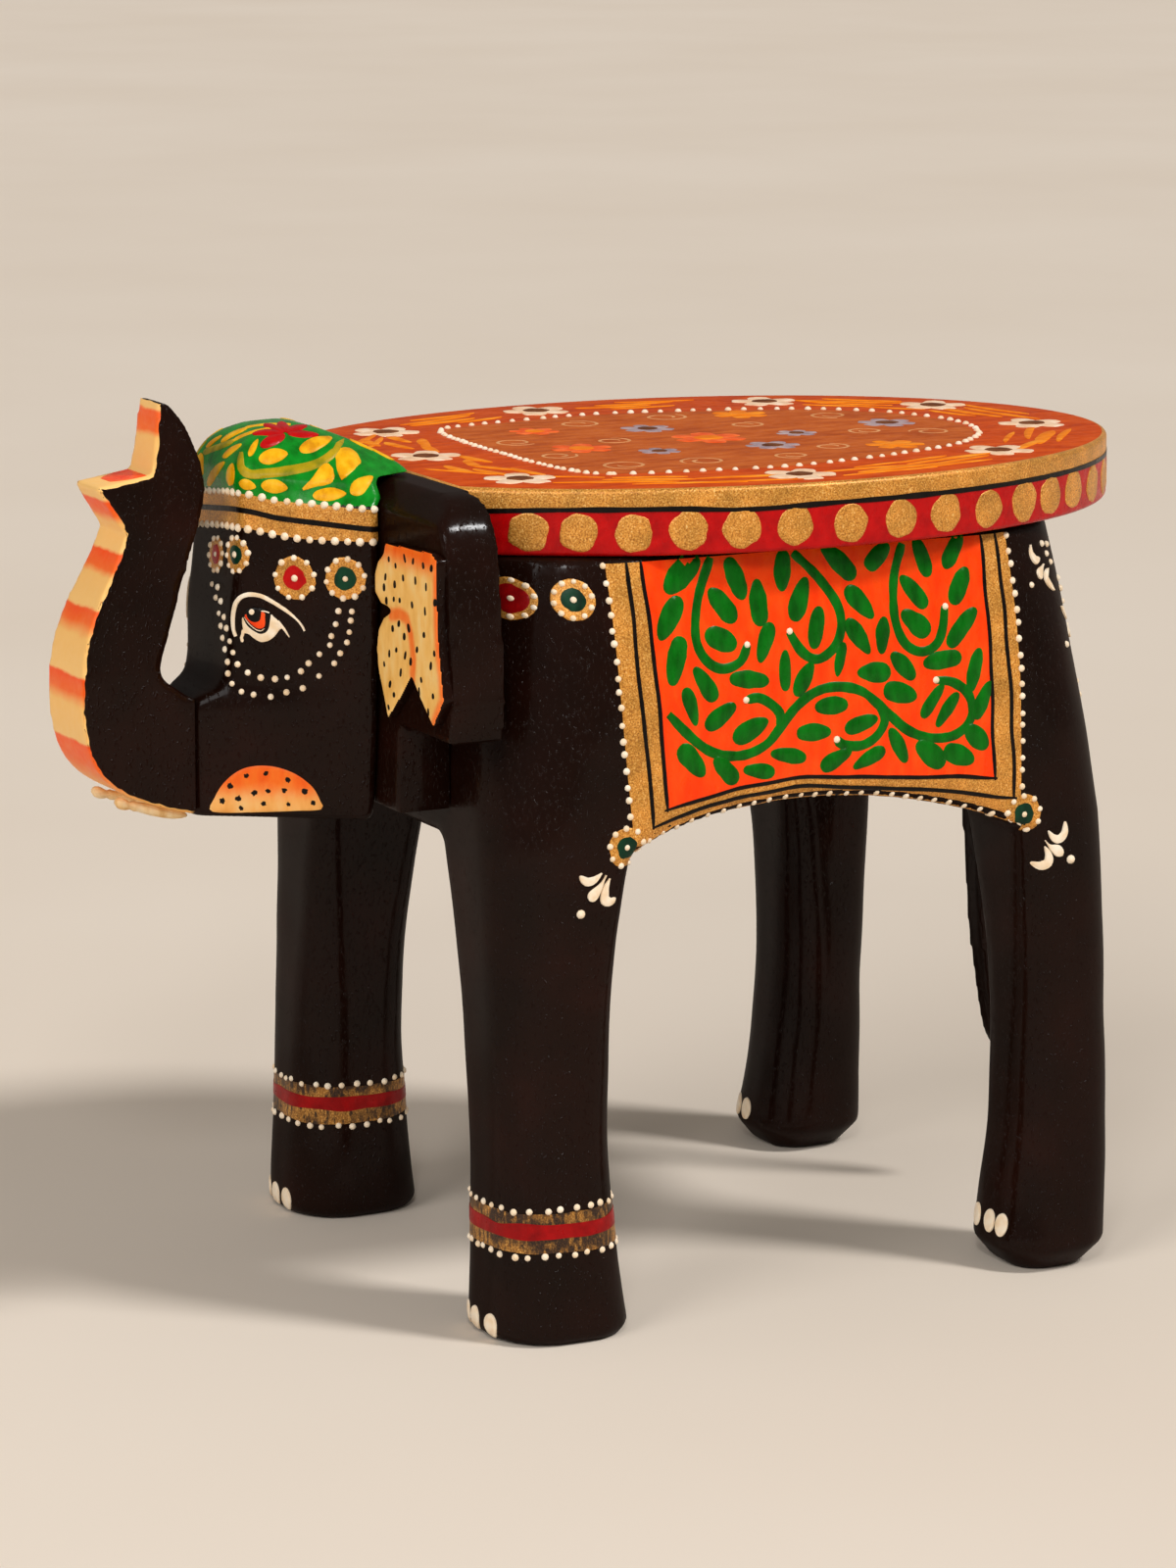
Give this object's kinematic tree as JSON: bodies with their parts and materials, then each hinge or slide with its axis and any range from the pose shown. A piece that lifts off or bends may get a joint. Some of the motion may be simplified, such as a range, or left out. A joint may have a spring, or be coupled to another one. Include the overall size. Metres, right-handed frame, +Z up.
{
  "type": "elephant stool",
  "caption": "Low carved wooden stool in the form of a standing elephant with raised trunk, an oval plank seat on its back and painted leaf-and-vine decoration.",
  "frame": {"origin": "on the floor under the middle of the overall length and width", "axes": "+Z up, -Y the way the elephant faces, +X its left side"},
  "size_m": [0.16, 0.2788, 0.2223],
  "materials": {
    "black_lacquer": "wood with gesso ground and glossy black lacquer, painted motifs",
    "seat_paint": "wood with glossy painted flowers, gold and red edge",
    "cream_paint": "wood with cream paint",
    "bare_wood": "bare hardwood dowel",
    "nail_steel": "plain wire nail"
  },
  "bodies": {
    "root": {"seat_board": "seat_paint", "torso": "black_lacquer", "ear_board": "black_lacquer", "head": "black_lacquer", "trunk": "black_lacquer", "tail": "black_lacquer", "front_left_leg": "black_lacquer", "front_right_leg": "black_lacquer", "rear_left_leg": "black_lacquer", "rear_right_leg": "black_lacquer", "left_tusk": "cream_paint", "right_tusk": "cream_paint", "front_left_leg_dowel": "bare_wood", "front_right_leg_dowel": "bare_wood", "rear_left_leg_dowel": "bare_wood", "rear_right_leg_dowel": "bare_wood", "left_head_dowel": "bare_wood", "right_head_dowel": "bare_wood", "lower_trunk_dowel": "bare_wood", "upper_trunk_dowel": "bare_wood", "front_left_seat_nail": "nail_steel", "front_right_seat_nail": "nail_steel", "rear_left_seat_nail": "nail_steel", "rear_right_seat_nail": "nail_steel", "left_ear_nail": "nail_steel", "right_ear_nail": "nail_steel", "tail_nail": "nail_steel"}
  },
  "joints": []
}
